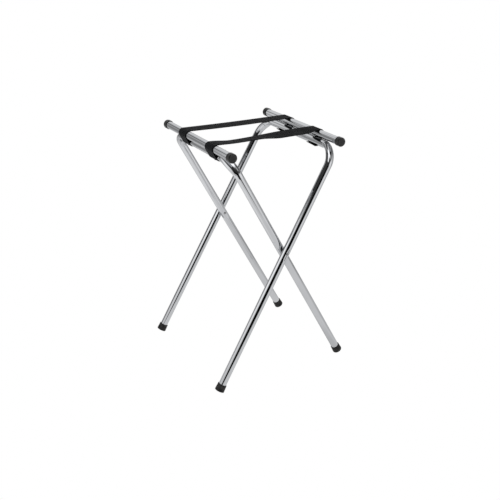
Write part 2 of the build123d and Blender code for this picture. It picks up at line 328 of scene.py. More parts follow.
def noise(vector, scale, detail=2.0):
    """Noise between 0 and 1."""
    inputs = {"Vector": vector, "Scale": scale, "Detail": detail}
    return add_node(vector.id_data, "TexNoise", inputs).outputs["Fac"]


def parts_of(vector):
    """The X, Y and Z of a vector."""
    return add_node(vector.id_data, "SeparateXYZ", {"Vector": vector}).outputs


def bump(height, strength, distance):
    """Normal from a height."""
    inputs = {"Height": height, "Strength": strength, "Distance": distance}
    return add_node(height.id_data, "Bump", inputs).outputs["Normal"]


def new_material(name):
    """A Principled material; returns it, its tree and its coordinates."""
    material = bpy.data.materials.new(name)
    material.use_nodes = True
    tree = material.node_tree
    return material, tree, add_node(tree, "TexCoord").outputs


def surface(tree, **sockets):
    """Link or set the shader's sockets; underscores in their names are spaces."""
    shader = tree.nodes["Principled BSDF"]
    for name, value in sockets.items():
        plug(shader.inputs[name.replace("_", " ")], value)


def stretched_noise(vector, scales, detail):
    """Noise with its own scale each way."""
    place = add_node(vector.id_data, "Mapping", {"Vector": vector, "Scale": scales})
    return noise(place.outputs["Vector"], 1.0, detail)


def shade(base, factor):
    """A colour made darker or lighter."""
    return tuple(channel * factor for channel in base)


# Finishes

# Scales of noise per metre, across and along: polishing lines on tubes and fibres in yarn
POLISH_LINES = (2600.0, 18.0, 1.0)
YARN_FIBRES = (9000.0, 1100.0, 1.0)
# Top of the dust on the ferrules and soft inner edge of the selvedges, in metres
DUST_TOP = 0.006
SELVEDGE_FADE = 0.0008


def chrome_plating(finish):
    """Bright chrome with polishing lines and faint handling marks."""
    material, tree, coords = new_material("chrome_plating")
    lines = stretched_noise(coords["UV"], POLISH_LINES, 3.0)
    marks = noise(coords["Object"], 22.0)
    fine = map_range(lines, 0.35, 0.75, 0.03, 0.042)
    handled = map_range(marks, 0.45, 0.8, 0.0, 0.02)
    tint = map_range(marks, 0.3, 0.7)
    surface(
        tree,
        Base_Color=mix_colour(tint, finish.chrome, shade(finish.chrome, 0.95)),
        Metallic=1.0,
        Roughness=calc("ADD", fine, handled),
        Specular_Tint=(0.7, 0.7, 0.7, 1.0),
        Normal=bump(lines, 0.005, 0.00001),
    )
    return material


def plated_weld(finish):
    """Chrome over a weld bead: duller, with fine spatter."""
    return grained(
        "plated_weld", finish.chrome, shades=(0.75, 1.0), metal=1.0, scale=900.0, detail=3.0,
        rough=(0.14, 0.3), relief=(0.1, 0.0002),
    )


def rivet_steel(finish):
    """Plated rivet steel with a faint turned grain."""
    return grained(
        "rivet_steel", finish.steel, shades=(0.85, 1.1), metal=1.0, scale=700.0, detail=4.0,
        rough=(0.16, 0.32), relief=(0.08, 0.0001),
    )


def washer_nylon(finish):
    """Dry black nylon."""
    return grained(
        "washer_nylon", finish.nylon, shades=(0.8, 1.2), metal=0.0, scale=1600.0, detail=2.0,
        rough=(0.42, 0.6), relief=(0.15, 0.0002),
    )


def grained(name, base, shades, metal, scale, detail, rough, relief):
    """A finish with one fine grain; relief is the strength and depth of its bumps."""
    material, tree, coords = new_material(name)
    grain = noise(coords["Object"], scale, detail)
    surface(
        tree,
        Base_Color=mix_colour(grain, *(shade(base, factor) for factor in shades)),
        Metallic=metal,
        Roughness=map_range(grain, 0.3, 0.7, *rough),
        Normal=bump(grain, *relief),
    )
    return material


def moulded_black(name, finish, base, sheen, rough):
    """Satin black rubber or vinyl: moulded grain, cloudy sheen, scuffed rims and dust at the floor."""
    material, tree, coords = new_material(name)
    place = coords["Object"]
    grain = noise(place, 1400.0)
    cloud = noise(place, 90.0, 3.0)
    worn = add_node(tree, "Attribute", attribute_name="wear").outputs["Fac"]
    scuff = calc("MULTIPLY", worn, map_range(cloud, 0.35, 0.65, 0.15, 1.0))
    dust = calc("MULTIPLY", map_range(parts_of(place)["Z"], 0.0, DUST_TOP, 0.5, 0.0), cloud)
    polish = map_range(cloud, 0.3, 0.7, *rough)
    fresh = mix_colour(cloud, shade(base, 0.8), shade(base, 1.3))
    scuffed = mix_colour(calc("MULTIPLY", scuff, 0.5), fresh, finish.scuff)
    surface(
        tree,
        Base_Color=mix_colour(dust, scuffed, finish.dust),
        Roughness=calc("ADD", polish, calc("MULTIPLY", scuff, 0.2)),
        Specular_IOR_Level=sheen,
        Normal=bump(grain, 0.25, 0.0003),
    )
    return material


def black_webbing(finish, strap):
    """Flat webbing: rows of yarn stitches with painted shade between them and lighter crowns, and firm,
    darker selvedges.
    """
    material, tree, coords = new_material("black_webbing")
    cloth = parts_of(coords["UV"])
    yarns_at = add_node(tree, "CombineXYZ", {"X": cloth["Y"], "Y": cloth["X"]})
    stitch_mm = {"Brick Width": 3.4, "Row Height": 1.6, "Mortar Size": 0.45, "Mortar Smooth": 1.0}
    inputs = {"Vector": yarns_at.outputs["Vector"], "Scale": 1000.0, **stitch_mm}
    between = add_node(tree, "TexBrick", inputs, offset=0.5).outputs["Fac"]
    crown = map_range(between, 0.0, 1.0, 1.0, 0.0)
    fibre = stretched_noise(coords["UV"], YARN_FIBRES, 2.0)
    half = strap.width / 2
    from_middle = calc("ABSOLUTE", calc("SUBTRACT", cloth["X"], half))
    inner_edge = half - strap.selvedge
    firm = map_range(from_middle, inner_edge, inner_edge + SELVEDGE_FADE, 0.0, 0.5)
    height = calc("ADD", crown, calc("MULTIPLY", fibre, 0.3))
    worn = map_range(noise(coords["Object"], 35.0, 3.0), 0.4, 0.75, 0.0, 0.6)
    # Painted shade: the webbing's black follows the relief, darkened between the stitches and lightened on
    # their crowns.
    yarn = mix_colour(crown, shade(finish.webbing, 0.35), shade(finish.webbing, 1.35))
    aged_and_painted_shade = mix_colour(worn, yarn, shade(finish.webbing, 1.9))
    surface(
        tree,
        Base_Color=mix_colour(firm, aged_and_painted_shade, shade(finish.webbing, 0.6)),
        Roughness=map_range(fibre, 0.2, 0.8, 0.6, 0.85),
        Specular_IOR_Level=0.04,
        Normal=bump(height, 0.35, 0.0003),
    )
    return material


# Mesh helpers


def verts_of(geom):
    """The vertices in an operator's result."""
    return [item for item in geom if isinstance(item, bmesh.types.BMVert)]


def ring_of(geom):
    """The edges of the last ring in an operator's result."""
    ends = set(verts_of(geom))
    edges = [item for item in geom if isinstance(item, bmesh.types.BMEdge)]
    return [edge for edge in edges if ends.issuperset(edge.verts)]


def push(bm, ring, offset):
    """Extrude a ring of edges by an offset; returns the new ring."""
    geom = bmesh.ops.extrude_edge_only(bm, edges=ring)["geom"]
    bmesh.ops.translate(bm, verts=verts_of(geom), vec=offset)
    return ring_of(geom)


def open_ring(bm, radius, sides, place):
    """A circle of edges to extrude."""
    made = bmesh.ops.create_circle(bm, cap_ends=False, segments=sides, radius=radius, matrix=place)
    return list(dict.fromkeys(edge for vert in made["verts"] for edge in vert.link_edges))


def whole(bm):
    """All of a mesh, for an operator."""
    return bm.verts[:] + bm.edges[:] + bm.faces[:]


def face_out(bm):
    """Point all faces outwards."""
    bmesh.ops.recalc_face_normals(bm, faces=bm.faces)


def turned(profile, sides, rounds=()):
    """Turn a (radius, height) profile about Z and round corners, given as (point, size)."""
    bm = bmesh.new()
    verts = [bm.verts.new((radius, 0, height)) for radius, height in profile]
    edges = [bm.edges.new(pair) for pair in zip(verts, verts[1:])]
    bmesh.ops.spin(
        bm, geom=verts + edges, cent=(0, 0, 0), axis=(0, 0, 1), angle=tau, steps=sides, use_merge=True
    )
    bmesh.ops.remove_doubles(bm, verts=bm.verts, dist=JOIN)
    wear = bm.verts.layers.float.new("wear")
    for point, size in rounds:
        radius, height = profile[point]
        rim = [edge for edge in bm.edges if all(on_rim(vert.co, radius, height) for vert in edge.verts)]
        made = bmesh.ops.bevel(
            bm, geom=rim, offset=size, offset_type="OFFSET", affect="EDGES", segments=ROUND_STEPS,
            profile=0.5, material=-1,
        )
        for vert in made["verts"]:
            vert[wear] = 1.0
    face_out(bm)
    return bm


def on_rim(point, radius, height):
    """Whether a point lies on a circle about Z."""
    return abs(hypot(point.x, point.y) - radius) < JOIN and abs(point.z - height) < JOIN


def dome(diameter, height):
    """Profile of a low round head on Z = 0, from its edge to its top."""
    ball = (diameter * diameter / 4 + height * height) / (2 * height)
    edge = atan2(diameter / 2, ball - height)
    turns = [edge * (1 - step / DOME_STEPS) for step in range(DOME_STEPS + 1)]
    return [(ball * sin(turn), height - ball + ball * cos(turn)) for turn in turns]


def make_piece(name, bm, material, body, node, place=None):
    """Make a bmesh a piece that rides on a body and stands for a CAD node."""
    if place is not None:
        bmesh.ops.transform(bm, matrix=place, verts=bm.verts)
    mesh = bpy.data.meshes.new(name)
    bm.to_mesh(mesh)
    bm.free()
    mesh.shade_smooth()
    mesh.set_sharp_from_angle(angle=SHARP)
    mesh.materials.append(material)
    piece = bpy.data.objects.new(name, mesh)
    bpy.context.scene.collection.objects.link(piece)
    if body is not None:
        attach(piece, body)
    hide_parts(node)
    return piece


def finish_with(piece, name, kind, **settings):
    """Add a modifier to a piece."""
    modifier = piece.modifiers.new(name, kind)
    for setting, value in settings.items():
        setattr(modifier, setting, value)


def even_normals(piece):
    """Keep flat faces flat beside rounded edges."""
    finish_with(piece, "even_normals", "WEIGHTED_NORMAL", keep_sharp=True)


# Leg frames and rails


class LegLine:
    """Axis of a frame's back half, upright about its pivot: leg, bend and half of the top run."""

    def __init__(self, frame_name, tube):
        self.radius = tube.diameter / 2
        self.bend = tube.bend_radius
        self.flattening = tube.flattening
        self.splay = tube.splay if frame_name == "outer" else 0.0
        self.up = Vector((0, -sin(self.splay), cos(self.splay)))
        self.turn = pi / 2 - self.splay
        inner = extent("inner_leg_frame").y / 2 - self.radius
        outer = 2 * middle("pivot_washer_back").y - inner
        self.pivot = Vector((0, inner if frame_name == "inner" else outer, 0))
        corner = self.pivot + self.up * (RUN_REACH / cos(self.splay))
        tangent = self.bend * tan(self.turn / 2)
        self.leg_length = (corner - self.up * tangent - self.pivot).length
        self.bend_end = corner - Vector((0, tangent, 0))
        self.bend_centre = self.bend_end - Vector((0, 0, self.bend))
        lean = atan2(hypot(sin(TILT), tan(self.splay)), cos(TILT))
        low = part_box(frame_name + "_leg_frame")[0].z
        self.foot_reach = (PIVOT.z - low - self.radius * sin(lean)) / (cos(TILT) * cos(self.splay))

    def foot_end(self, side):
        """Place of the end of the front (-1) or back (1) leg, Z up along the leg."""
        end = self.pivot - self.up * self.foot_reach
        return Matrix.Translation((0, side * end.y, end.z)) @ Matrix.Rotation(side * self.splay, 4, "X")

    def locate(self, point):
        """Distance along the tube from the pivot, and angle round it."""
        point = Vector((point.x, abs(point.y), point.z))
        from_centre = point - self.bend_centre
        turned_by = atan2(from_centre.z, from_centre.y)
        if turned_by >= pi / 2:
            along = self.leg_length + self.turn * self.bend + self.bend_end.y - point.y
            return along, atan2(point.x, point.z - self.bend_end.z)
        if turned_by > self.splay:
            along = self.leg_length + (turned_by - self.splay) * self.bend
            return along, atan2(point.x, hypot(from_centre.y, from_centre.z) - self.bend)
        up_leg = (point - self.pivot).dot(self.up)
        outward = (point - self.pivot).dot(Vector((0, cos(self.splay), sin(self.splay))))
        return up_leg, atan2(point.x, outward)

    def flatten(self, vert):
        """Press in the bend's outside, as in thin tube."""
        from_centre = vert.co - self.bend_centre
        turned_by = atan2(from_centre.z, from_centre.y)
        through = (turned_by - self.splay) / self.turn
        if not 0 < through < 1:
            return
        squeeze = self.flattening / 2 * sin(pi * through) ** 2
        offset = hypot(from_centre.y, from_centre.z) - self.bend
        offset = offset * (self.radius - squeeze) / self.radius - squeeze
        outward = Vector((0, cos(turned_by), sin(turned_by)))
        across = vert.co.x * (self.radius + squeeze) / self.radius
        vert.co = self.bend_centre + outward * (self.bend + offset) + Vector((across, 0, 0))


def press_limit(along, tube):
    """Reach of the tube from the leg's axis, beside the pivot."""
    past_flat = max(0.0, abs(along) - tube.press_flat / 2)
    rise = tube.press_runout - sqrt(max(0.0, tube.press_runout ** 2 - past_flat ** 2))
    return tube.diameter / 2 - tube.press_depth + rise


def press_flats(bm, line, tube):
    """Press the flats for rivet heads and washers into a back leg."""
    for vert in bm.verts:
        limit = press_limit(vert.co.z, tube)
        offset = vert.co.y - line.pivot.y
        axis_shift = -tan(line.splay) * vert.co.z
        if abs(offset) > limit and abs(offset - axis_shift) <= line.radius + JOIN:
            vert.co.y = line.pivot.y + (limit if offset > 0 else -limit)


def tube_map(bm, radius, locate):
    """UV map in metres, round and along the tube; locate gives a point's distance along and angle."""
    layer = bm.loops.layers.uv.new("tube")
    for face in bm.faces:
        first = None
        for loop in face.loops:
            along, round_by = locate(loop.vert.co)
            first = round_by if first is None else first
            round_by += tau * round((first - round_by) / tau)
            loop[layer].uv = (round_by * radius, along)


def leg_tube(frame_name, stand):
    """Bent tube of a frame, upright: one half from foot to middle, mirrored."""
    tube = stand.tube
    line = LegLine(frame_name, tube)
    zone = tube.press_flat / 2 + sqrt(2 * tube.press_runout * tube.press_depth)
    stations = [-zone + 2 * zone * step / PRESS_STEPS for step in range(PRESS_STEPS + 1)]
    stations.append(line.leg_length)
    bm = bmesh.new()
    ring = open_ring(bm, line.radius, tube.sides, line.foot_end(1))
    reached = -line.foot_reach
    for station in stations:
        ring = push(bm, ring, line.up * (station - reached))
        reached = station
    press_flats(bm, line, tube)
    made = bmesh.ops.spin(
        bm, geom=ring, cent=line.bend_centre, axis=(1, 0, 0), angle=line.turn, steps=BEND_STEPS,
        use_merge=False,
    )
    push(bm, ring_of(made["geom_last"]), (0, -line.bend_end.y, 0))
    for vert in bm.verts:
        line.flatten(vert)
    bmesh.ops.mirror(bm, geom=whole(bm), axis="Y", merge_dist=JOIN)
    face_out(bm)
    tube_map(bm, line.radius, line.locate)
    return bm


def rail_tube(stand):
    """Straight tube along Y about its own middle."""
    radius = stand.tube.diameter / 2
    bm = bmesh.new()
    front = Matrix.Translation((0, -RAIL_LENGTH / 2, 0)) @ ENDWAYS["back"]
    push(bm, open_ring(bm, radius, stand.tube.sides, front), (0, RAIL_LENGTH, 0))
    face_out(bm)
    tube_map(bm, radius, lambda point: (point.y, atan2(point.x, point.z)))
    return bm


class TRAYSTAND_OT_tubes(Operator):
    """Make the two bent leg frames and the two rails"""

    bl_idname = "tray_stand.tubes"
    bl_label = "Chrome tubes"

    def execute(self, context):
        stand = context.scene.tray_stand
        plating = chrome_plating(stand.finish)
        for name, place in PLACES.items():
            on_top = place @ Matrix.Translation((0, 0, RAIL_REACH))
            for piece, bm, node, put in (
                (name + "_leg_tube", leg_tube(name, stand), name + "_leg_frame", place),
                (name + "_rail_tube", rail_tube(stand), name + "_top_rail", on_top),
            ):
                tube = make_piece(piece, bm, plating, name + "_frame", node, put)
                finish_with(tube, "wall", "SOLIDIFY", thickness=stand.tube.wall, offset=-1)
                even_normals(tube)
        return {"FINISHED"}


# Rubber ends


def cap_mesh(stand):
    """Slip-on cap, the tube's end at Z = 0 and the closed end up."""
    rubber = stand.rubber
    bore = stand.tube.diameter / 2 + rubber.clearance
    outside = rubber.cap_diameter / 2
    top = rubber.cap_end
    mouth = top - rubber.cap_length
    profile = [(0, top), (outside, top), (outside, mouth), (bore, mouth), (bore, 0), (0, 0)]
    return turned(profile, rubber.sides, ((1, rubber.cap_rounding), (2, rubber.mouth_rounding)))


def foot_mesh(stand):
    """Tapered ferrule, a ring groove underneath, the tube's end at Z = 0."""
    rubber = stand.rubber
    bore = stand.tube.diameter / 2 + rubber.clearance
    sole = -rubber.foot_sole
    mouth = rubber.foot_length - rubber.foot_sole
    groove = rubber.groove_diameter / 2
    core = groove - rubber.groove_width
    roof = sole + rubber.groove_depth
    profile = [
        (0, sole), (core, sole), (core, roof), (groove, roof), (groove, sole),
        (rubber.foot_base / 2, sole), (rubber.foot_mouth / 2, mouth), (bore, mouth), (bore, 0), (0, 0),
    ]
    return turned(profile, rubber.sides, ((5, rubber.foot_rounding), (6, rubber.mouth_rounding)))


def wear_flat(bm):
    """Cut the rim level with the floor."""
    made = bmesh.ops.bisect_plane(
        bm, geom=whole(bm), plane_co=(0, 0, 0), plane_no=(0, 0, 1), clear_inner=True
    )
    cut = [item for item in made["geom_cut"] if isinstance(item, bmesh.types.BMEdge)]
    bmesh.ops.holes_fill(bm, edges=cut)
    face_out(bm)


class TRAYSTAND_OT_rubber(Operator):
    """Make the rail caps and the ferrules"""

    bl_idname = "tray_stand.rubber"
    bl_label = "Rubber ends"

    def execute(self, context):
        stand = context.scene.tray_stand
        finish = stand.finish
        # Partly painted light: the caps get a lighter black than the ferrules, standing in for light on the
        # caps and shade on the ferrules at the floor.
        rubber = moulded_black("moulded_rubber", finish, finish.rubber, sheen=0.13, rough=(0.42, 0.56))
        vinyl = moulded_black("moulded_vinyl", finish, finish.vinyl, sheen=0.2, rough=(0.2, 0.32))
        for name, place in PLACES.items():
            line = LegLine(name, stand.tube)
            for end, side in ENDS.items():
                rail_end = Matrix.Translation((0, side * RAIL_LENGTH / 2, RAIL_REACH)) @ ENDWAYS[end]
                cap = make_piece(
                    f"{name}_cap_{end}", cap_mesh(stand), vinyl, name + "_frame",
                    f"{name}_rail_cap_{end}", place @ rail_end,
                )
                ferrule = foot_mesh(stand)
                bmesh.ops.transform(ferrule, matrix=place @ line.foot_end(side), verts=ferrule.verts)
                wear_flat(ferrule)
                foot = make_piece(
                    f"{name}_ferrule_{end}", ferrule, rubber, name + "_frame",
                    f"{name}_foot_{end}",
                )
                for piece in (cap, foot):
                    even_normals(piece)
        return {"FINISHED"}


# Fasteners

# Weld beads: how blunt their ends are, and the share of the radius that is lost between ripples
BEAD_BLUNTNESS = 6
RIPPLE_SHARE = 0.04


def pivot_rivet_mesh(stand, grip):
    """Rivet along Z about its middle, a round head at each end."""
    fastener = stand.fastener
    shank = fastener.pivot_diameter / 2
    head = dome(fastener.pivot_head, fastener.pivot_head_height)
    upper = [(radius, grip / 2 + height) for radius, height in head]
    lower = [(radius, -grip / 2 - height) for radius, height in reversed(head)]
    profile = lower + [(shank, -grip / 2), (shank, grip / 2)] + upper
    return turned(profile, fastener.sides)


def washer_mesh(stand, size):
    """Flat ring about Z with eased edges, as large as its node."""
    fastener = stand.fastener
    bore = fastener.washer_bore / 2
    outside = size.z / 2
    half = size.y / 2
    eased = size.y / 8
    profile = [(bore, -half), (outside, -half), (outside, half), (bore, half), (bore, -half)]
    return turned(profile, fastener.sides, ((1, eased), (2, eased)))


def strap_rivet_mesh(stand, node):
    """Blind rivet along Z: a round head below with the mandrel's hole, shank and bulb above."""
    fastener = stand.fastener
    low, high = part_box(node)
    head_top = low.z + fastener.stud_head_height - middle(node).z
    top = high.z - middle(node).z
    bulb = fastener.bulb_diameter / 2
    bulb_seat = top - fastener.bulb_height
    hole = fastener.mandrel_hole / 2
    head = dome(fastener.stud_head, fastener.stud_head_height)
    bulge = [(radius, head_top - height) for radius, height in reversed(head) if radius > hole]
    floor = head_top - fastener.stud_head_height / 3
    shank = fastener.stud_diameter / 2
    profile = [(0, floor), (hole, floor), (hole, bulge[0][1])] + bulge
    profile += [(shank, head_top), (shank, bulb_seat), (bulb, bulb_seat), (bulb, top), (0, top)]
    return turned(profile, fastener.sides)


def weld_mesh(stand, bead_length):
    """Rippled bead along Z."""
    fastener = stand.fastener
    half = bead_length / 2
    steps = round(bead_length / fastener.weld_ripple * RIPPLE_STEPS)
    profile = []
    for step in range(steps + 1):
        height = -half + bead_length * step / steps
        ends = sqrt(max(0.0, 1 - (height / half) ** BEAD_BLUNTNESS))
        ripple = 1 - RIPPLE_SHARE * cos(tau * height / fastener.weld_ripple) ** 2
        profile.append((fastener.weld_radius * ends * ripple, height))
    return turned(profile, fastener.sides // 2)


def seat_weld(bm, stand):
    """Lay a bead between an upright rail and run and press it against both."""
    fastener = stand.fastener
    pitch = RAIL_REACH - RUN_REACH
    reach = stand.tube.diameter / 2 + fastener.weld_clearance
    offset = sqrt((stand.tube.diameter / 2) ** 2 - (pitch / 2 - fastener.weld_throat) ** 2)
    groove = Matrix.Translation((offset, 0, RUN_REACH + pitch / 2)) @ ENDWAYS["back"]
    bmesh.ops.transform(bm, matrix=groove, verts=bm.verts)
    for vert in bm.verts:
        for axis_height in (RUN_REACH, RAIL_REACH):
            away = Vector((vert.co.x, 0, vert.co.z - axis_height))
            if away.length < reach:
                vert.co += away.normalized() * (reach - away.length)


class TRAYSTAND_OT_fasteners(Operator):
    """Make the pivot rivets and washers, the strap rivets and the weld beads"""

    bl_idname = "tray_stand.fasteners"
    bl_label = "Fasteners"

    def execute(self, context):
        stand = context.scene.tray_stand
        steel = rivet_steel(stand.finish)
        nylon = washer_nylon(stand.finish)
        weld = plated_weld(stand.finish)
        for end in ENDS:
            grip = extent("pivot_rivet_" + end).y - 2 * stand.fastener.pivot_head_height
            size = extent("pivot_washer_" + end)
            for piece, bm, finish, slot, node in (
                ("pivot_pin_", pivot_rivet_mesh(stand, grip), steel, "rivet_steel", "pivot_rivet_"),
                ("pivot_spacer_", washer_mesh(stand, size), nylon, "washer_plastic", "pivot_washer_"),
            ):
                place = Matrix.Translation(middle(node + end)) @ ENDWAYS["back"]
                even_normals(make_piece(piece + end, bm, finish, "outer_frame", node + end, place))
        for name, place in PLACES.items():
            for end in ENDS:
                self.strap_fixing(stand, name, place, end, steel, weld)
        return {"FINISHED"}

    def strap_fixing(self, stand, name, place, end, steel, weld):
        """The rivet under a strap end and the two beads behind it."""
        body = name + "_frame"
        node = f"{name}_strap_rivet_{end}"
        rivet = make_piece(
            f"{name}_strap_stud_{end}", strap_rivet_mesh(stand, node), steel, body, node,
            Matrix.Translation(middle(node)),
        )
        even_normals(rivet)
        node = f"{name}_rail_weld_{end}"
        beads = weld_mesh(stand, extent(node).y)
        seat_weld(beads, stand)
        bmesh.ops.mirror(beads, geom=whole(beads), axis="X", merge_dist=JOIN)
        face_out(beads)
        to_strap = place @ Matrix.Translation((0, middle(node).y, 0))
        make_piece(f"{name}_weld_{end}", beads, weld, body, node, to_strap)


# Straps

# Where along the front strap's span it hangs lower beside each rail: start, full, ebb and end
INNER_DROP = (0.2, 0.78, 0.8, 1.0)
OUTER_DROP = (0.0, 0.15, 0.37, 0.6)
# Shares of the sag at the near and the far edge of the back strap
NEAR_SAG = 1.3
FAR_SAG = 0.7


def straight(start, end, steps):
    """Points on a line, without its end."""
    return [tuple(a + (b - a) * step / steps for a, b in zip(start, end)) for step in range(steps)]


def arc(centre, radius, start, end, steps):
    """Points on an arc in the X-Z plane."""
    turns = [start + (end - start) * step / steps for step in range(steps + 1)]
    return [(centre[0] + radius * cos(turn), centre[1] + radius * sin(turn)) for turn in turns]


def wrap_route(stand):
    """Middle line of a strap's outer end, from its tip to the rail's top, as (x, z)."""
    strap = stand.strap
    radius = stand.tube.diameter / 2 + strap.clearance + strap.thickness / 2
    under = TILT - (pi / 2 + strap.past_bottom)
    run_arc = arc((0, RUN_REACH), radius, under, 0, RUN_STEPS)
    tail_start = run_arc[0]
    tip = (tail_start[0] + strap.tail * sin(under), tail_start[1] - strap.tail * cos(under))
    side = straight((radius, RUN_REACH), (radius, RAIL_REACH), SIDE_STEPS)
    rail_arc = arc((0, RAIL_REACH), radius, 0, pi / 2 + TILT, RAIL_STEPS)
    upright = straight(tip, tail_start, TAIL_STEPS) + run_arc + side[1:] + rail_arc
    return [tuple((PLACES["outer"] @ Vector((x, 0, z))).xz) for x, z in upright]


def strap_rows(stand, end):
    """Rows of a strap as (point, share of the span), from outer to inner tail."""
    wrap = wrap_route(stand)
    outer_y = middle("outer_strap_rivet_" + end).y
    inner_y = middle("inner_strap_rivet_" + end).y
    top_x, top_z = wrap[-1]
    rows = [(Vector((x, outer_y, z)), 0.0) for x, z in wrap]
    for step in range(1, SPAN_STEPS):
        through = step / SPAN_STEPS
        point = Vector((top_x * (1 - 2 * through), outer_y + (inner_y - outer_y) * through, top_z))
        rows.append((point, through))
    rows += [(Vector((-x, inner_y, z)), 1.0) for x, z in reversed(wrap)]
    return rows


def swell(through, start, full, ebb, end):
    """Smooth rise to 1, stay and fall between shares of the span."""
    place = min((through - start) / (full - start), (end - through) / (end - ebb))
    return sin(pi / 2 * min(1.0, max(0.0, place))) ** 2


def slack(strap, end, through, across):
    """Drop between the rails; across is -1 at the near edge and 1 at the far one."""
    near = (1 - across) / 2
    far = (1 + across) / 2
    if end == "back":
        return strap.sag * sin(pi * through) * (NEAR_SAG * near + FAR_SAG * far)
    inner = swell(through, *INNER_DROP)
    outer = swell(through, *OUTER_DROP)
    return inner * (strap.far_drop * far + strap.sag * near) + outer * strap.near_drop * near


def creep(strap, end, through, from_tip, across):
    """Shift of a strap's outer end, growing towards its tip."""
    if through > 0:
        return Vector((0, 0, 0))
    skew = strap.tail_skew * max(0.0, 1 - from_tip / strap.skew_length) if end == "front" else 0.0
    curl = max(0.0, 1 - from_tip / strap.tail) * (1 + across) / 2
    return Vector((0, -skew, strap.tail_lift * curl))


def fold_share(stand, x, z):
    """Share of the inner frame's turn that bends a point of the span into the loop."""
    strap = stand.strap
    reach = hypot(x, z - PIVOT.z)
    at_rest = atan2(x, z - PIVOT.z)
    hug = stand.tube.diameter / 2 + strap.clearance + strap.thickness / 2
    beside = strap.loop_gap / reach * sin(pi / 2 * min(1.0, abs(x) / strap.loop_bottom))
    if reach > RAIL_REACH:
        over = sqrt(max(0.0, hug ** 2 - (reach - RAIL_REACH) ** 2))
        beside = max(beside, TILT - over / reach - FOLD_TURN / 2)
    folded = FOLD_TURN / 2 + (beside if x > 0 else -beside)
    return min(1.0, max(0.0, (folded - at_rest) / FOLD_TURN))


def strap_mesh(stand, end):
    """Webbing cut flat and laid along its route; returns the cut length too."""
    strap = stand.strap
    rows = strap_rows(stand, end)
    last = len(rows) - 1
    along = [0.0]
    for (start, _), (stop, _) in zip(rows, rows[1:]):
        along.append(along[-1] + (stop - start).length)
    bm = bmesh.new()
    bmesh.ops.create_grid(bm, x_segments=strap.columns, y_segments=last, size=1.0)
    cloth = bm.loops.layers.uv.new("cloth")
    turn = bm.verts.layers.float.new("fold_share")
    flat = {}
    for vert in bm.verts:
        across = vert.co.x
        row = round((vert.co.y + 1) / 2 * last)
        flat[vert] = ((across + 1) / 2 * strap.width, along[row])
        point, through = rows[row]
        hang = Vector((0, across * strap.width / 2, -slack(strap, end, through, across)))
        vert.co = point + hang + creep(strap, end, through, along[row], across)
        vert[turn] = fold_share(stand, point.x, point.z) if 0 < through < 1 else through
    for face in bm.faces:
        for loop in face.loops:
            loop[cloth].uv = flat[loop.vert]
    face_out(bm)
    return bm, along[-1]


class TRAYSTAND_OT_straps(Operator):
    """Make the two webbing straps"""

    bl_idname = "tray_stand.straps"
    bl_label = "Webbing straps"

    def execute(self, context):
        stand = context.scene.tray_stand
        webbing = black_webbing(stand.finish, stand.strap)
        for end in ENDS:
            bm, cut_length = strap_mesh(stand, end)
            band = make_piece(end + "_webbing", bm, webbing, None, end + "_strap")
            finish_with(band, "thickness", "SOLIDIFY", thickness=stand.strap.thickness, offset=0)
            finish_with(
                band, "soft_edge", "BEVEL", width=stand.strap.edge_rounding, segments=EDGE_STEPS,
                limit_method="ANGLE",
            )
            self.hang(stand, band)
        return {"FINISHED"}

    def hang(self, stand, band):
        """Let the strap follow both frames, as a loop when folded."""
        top = stand.tube.diameter / 2
        outer = middle("outer_top_rail") + Vector((0, 0, top))
        inner = middle("inner_top_rail") + Vector((0, 0, top))
        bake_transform(band, "outer_frame", "inner_frame", start=outer, end=inner)
        turns = band.data.attributes["fold_share"].data
        for weight, turn in zip(band.data.attributes["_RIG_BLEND"].data, turns):
            weight.value = turn.value


# Stage

# Middle of the lit pool on the left board, along Y and up, and the pool's half sizes, in metres
CARD_AIM = (-0.05, 0.95)
CARD_POOL = (0.85, 0.8)
# Share of the pool that is fully lit
CARD_CORE = 0.15

# Parts of the pale floor that the chrome shows, later ones over earlier ones: bearing from and to in
# degrees, distance from and to in metres, the soft edges of both, and brightness
FLOOR_ZONES = (
    ("lit by the left board", -165, -40, 0.35, 2.0, 8, 0.1, 1.11),
    ("right side", 48, 130, 0.6, 2.0, 6, 0.15, 0.74),
    ("far right", 55, 135, 2.0, 9.0, 5, 0.2, 0.5),
    ("under the front lamp", 9, 50, 1.7, 9.0, 4, 0.3, 1.08),
    ("shade at the inner front foot", 30, 65, 0.18, 0.42, 8, 0.06, 0.78),
    ("front opening", -38, 4, 1.1, 9.0, 4, 0.1, 0.02),
    ("dim back at the left", -190, -138, 1.0, 9.0, 5, 0.1, 0.62),
    ("under the back light", 136, 172, 1.3, 9.0, 5, 0.1, 1.4),
    ("pale strip at the back left", -190, -150, 1.2, 1.9, 3, 0.15, 0.9),
    ("dark strip at the back left", -156, -140, 2.3, 3.4, 3, 0.2, 0.3),
)

